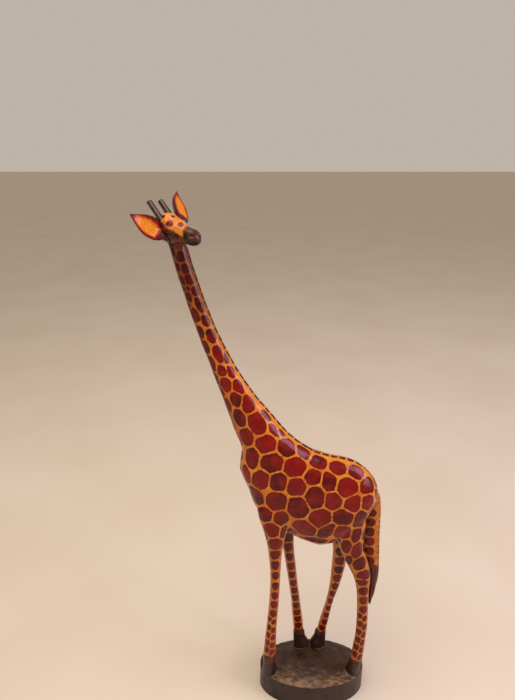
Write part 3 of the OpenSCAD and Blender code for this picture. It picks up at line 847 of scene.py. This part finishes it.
for seed, node in enumerate(("horn_right", "horn_left")):
    # The axis, length and radius of the peg are those of the frame's own piece.
    corners = np.array([v.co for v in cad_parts[node].data.vertices], float)
    middle = (corners.max(0) + corners.min(0)) / 2
    _, _, axes = np.linalg.svd(corners - corners.mean(0), full_matrices=False)
    way = axes[0] * math.copysign(1, axes[0][2])
    run = (corners - middle) @ way
    length = run.max() - run.min()
    radius = np.linalg.norm((corners - middle) - np.outer(run, way), axis=1).max()
    horn = bpy.data.objects.new(node + "_peg", bpy.data.meshes.new(node + "_peg"))
    bpy.context.scene.collection.objects.link(horn)
    maker = horn.modifiers.new("whittling", "NODES")
    maker.node_group = peg_tree
    for label, value in (("Radius", radius), ("Length", length), ("Flat size", horn_flat_size),
                         ("Flat depth", horn_flat_deep), ("Seed", float(seed))):
        maker[peg_inputs[label]] = value
    settled(horn)
    turn = Vector(way).to_track_quat("Z", "X").to_matrix().to_4x4()
    horn.data.transform(Matrix.Translation(middle + way * (run.max() + run.min()) / 2) @ turn)
    places, facings = skin_of(horn)
    high = ramp((places - middle) @ way, length * 0.4, length * 0.5)
    skew = (places - middle) @ head_fore
    places += np.outer(high * (skew * saw_slant[node] - saw_low), way)
    reshape(horn, places)
    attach(horn, "root")
    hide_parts(node)

# ---------------------------------------------------------------------------
# Hoof dowels.
# Four plain birch dowels, hidden half in a hoof and half in the leg above it. They are the frame's
# own pieces and keep their shape; they only take the finish of sanded bare wood.
# ---------------------------------------------------------------------------
# Birch as it comes from the dowel cutter: pale, dry and smooth, with fine long grain.
dowel_wood, birch = new_finish("sanded_birch")
birch_grain = lumps(birch, 1.5 * MM, 4.0, (1, 1, 8))
birch_shades = add(birch, "ShaderNodeMapRange", Value=birch_grain, From_Min=0.35, From_Max=0.65)
birch_colour = add(birch, "ShaderNodeMix", 2, data_type="RGBA", Factor_Float=birch_shades,
                   A_Color="C9A878", B_Color="E2C89C")
birch_rough = add(birch, "ShaderNodeMapRange", Value=birch_grain, From_Min=0.3, From_Max=0.7,
                  To_Min=0.5, To_Max=0.65)
finished(birch, birch_colour, birch_rough, birch_grain, 0.05 * MM)
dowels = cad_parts["hoof_dowels"]
coat(dowels, dowel_wood)

# ---------------------------------------------------------------------------
# Floor, light and camera.
# A plain pale floor of matt painted board. A soft box above, a cooler one to the right like a
# window, and a weak warm fill at the left front light it.
# ---------------------------------------------------------------------------
floor_half = 20.0
floor_wood, board = new_finish("pale_floor")
board_clouds = lumps(board, 0.25, 3.0)
board_shades = add(board, "ShaderNodeMapRange", Value=board_clouds, From_Min=0.3, From_Max=0.7)
board_colour = add(board, "ShaderNodeMix", 2, data_type="RGBA", Factor_Float=board_shades,
                   A_Color="CDBEAA", B_Color="D3C6B4")
board_rough = add(board, "ShaderNodeMapRange", Value=board_clouds, From_Min=0.0, From_Max=1.0,
                  To_Min=0.55, To_Max=0.65)
finished(board, board_colour, board_rough, board_clouds, 0.1 * MM)
floor_mesh = bpy.data.meshes.new("floor")
floor_mesh.from_pydata([(-floor_half, -floor_half, 0), (floor_half, -floor_half, 0),
                        (floor_half, floor_half, 0), (-floor_half, floor_half, 0)], [], [(0, 1, 2, 3)])
floor_mesh.materials.append(floor_wood)
floor = bpy.data.objects.new("floor", floor_mesh)
bpy.context.scene.collection.objects.link(floor)

sky = bpy.data.worlds.new("studio")
sky.use_nodes = True
sky.node_tree.nodes["Background"].inputs["Color"].default_value = linear("C8BCB0")
sky.node_tree.nodes["Background"].inputs["Strength"].default_value = 0.9
bpy.context.scene.world = sky

object_middle = Vector((-0.03, 0, 0.3))
soft_boxes = {  # name: place, width, height, watts, colour
    "ceiling": ((-0.3, -0.3, 1.7), 1.2, 1.2, 19, "FFF4E6"),
    "window": ((1.75, -0.6, 1.15), 1.1, 1.5, 36, "E6E0FF"),
    "fill": ((-0.9, -1.2, 0.6), 0.9, 0.9, 3, "FFEBD8"),
}
for name, (place, width, tall, power, colour) in soft_boxes.items():
    lamp = bpy.data.lights.new(name, "AREA")
    lamp.shape = "RECTANGLE"
    lamp.size, lamp.size_y = width, tall
    lamp.energy = power
    lamp.color = linear(colour)[:3]
    box = bpy.data.objects.new(name, lamp)
    box.location = place
    box.rotation_euler = (object_middle - Vector(place)).to_track_quat("-Z", "Y").to_euler()
    bpy.context.scene.collection.objects.link(box)

bpy.context.scene.view_settings.view_transform = "Standard"

camera_place = (-0.068, -0.485, 0.635)
camera_tilt = math.radians(69.5)
camera_lens = 27.05
lens = bpy.data.cameras.new("camera")
lens.lens = camera_lens
lens.sensor_width = 36
lens.clip_start = 0.01
camera = bpy.data.objects.new("camera", lens)
camera.location = camera_place
camera.rotation_euler = (camera_tilt, 0, 0)
bpy.context.scene.collection.objects.link(camera)
bpy.context.scene.camera = camera
